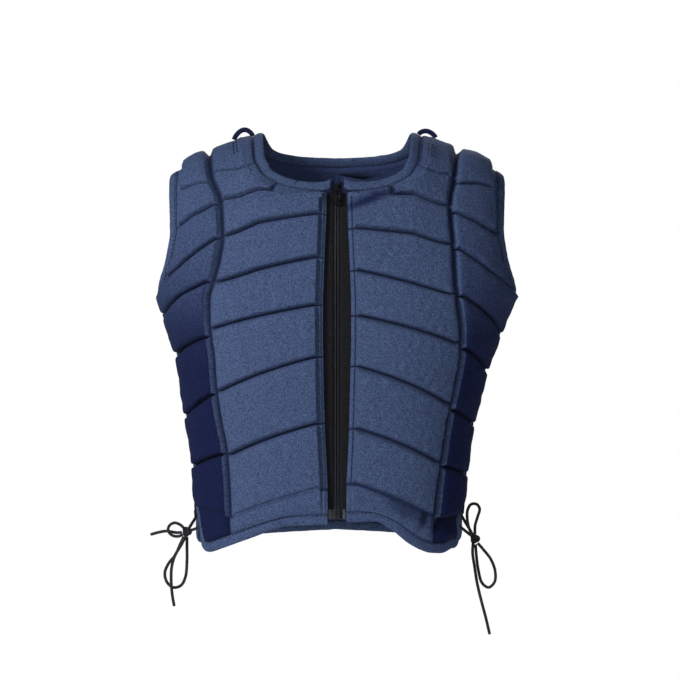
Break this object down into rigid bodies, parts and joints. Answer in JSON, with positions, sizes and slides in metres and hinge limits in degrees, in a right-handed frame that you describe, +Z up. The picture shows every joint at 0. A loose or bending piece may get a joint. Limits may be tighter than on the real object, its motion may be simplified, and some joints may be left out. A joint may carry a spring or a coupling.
{
  "type": "equestrian body protector",
  "caption": "Sleeveless body protector of navy foam blocks in cloth: front zip, back panel, bound edges, and a black lace down each open side that ends in a bow",
  "frame": {"origin": "midway between the shoulders, at the height that the shoulder seams hang from", "axes": "+Z up, front of the body faces -Y, the wearer's right side is at -X"},
  "size_m": [0.3667, 0.2215, 0.504],
  "materials": {
    "padded_cloth": "matt woven navy cloth over foam blocks",
    "binding_cloth": "folded navy cloth binding with a stitched edge",
    "loop_cloth": "dark navy webbing",
    "zip_tape": "black woven tape",
    "zip_coil": "black nylon coil",
    "zip_metal": "black enamel, satin",
    "zip_film": "grey translucent film",
    "webbing": "black webbing",
    "cord": "black braided cord"
  },
  "bodies": {
    "vest": {"front_panel_right": "padded_cloth", "front_panel_left": "padded_cloth", "back_panel": "padded_cloth", "hem_binding_right": "binding_cloth", "hem_binding_left": "binding_cloth", "hem_binding_back": "binding_cloth", "armhole_binding_right": "binding_cloth", "armhole_binding_left": "binding_cloth", "neck_binding_right": "binding_cloth", "neck_binding_left": "binding_cloth", "neck_binding_back": "binding_cloth", "zip_tape_right": "zip_tape", "zip_tape_left": "zip_tape", "zip_coil_right": "zip_coil", "zip_coil_left": "zip_coil", "zip_top_stop_right": "zip_metal", "zip_top_stop_left": "zip_metal", "zip_end_film_right": "zip_film", "zip_end_film_left": "zip_film", "zip_box_right": "zip_metal", "zip_pin_left": "zip_metal", "zip_slider": "zip_metal", "shoulder_loop_right": "loop_cloth", "shoulder_loop_left": "loop_cloth", "lace_loops_front_right": "webbing", "lace_loops_back_right": "webbing", "lace_right": "cord", "bow_knot_right": "cord", "bow_small_loop_right": "cord", "bow_large_loop_right": "cord", "bow_long_end_right": "cord", "lace_loops_front_left": "webbing", "lace_loops_back_left": "webbing", "lace_left": "cord", "bow_knot_left": "cord", "bow_small_loop_left": "cord", "bow_large_loop_left": "cord", "bow_long_end_left": "cord", "bow_short_end_right": "cord"},
    "puller": {"zip_puller": "zip_metal"}
  },
  "joints": [
    {"name": "puller_swing", "type": "hinge", "parent": "vest", "child": "puller", "pos_m": [0, -0.08772, -0.04238], "axis": [-1, 0, 0], "range_deg": [0, 150]}
  ]
}
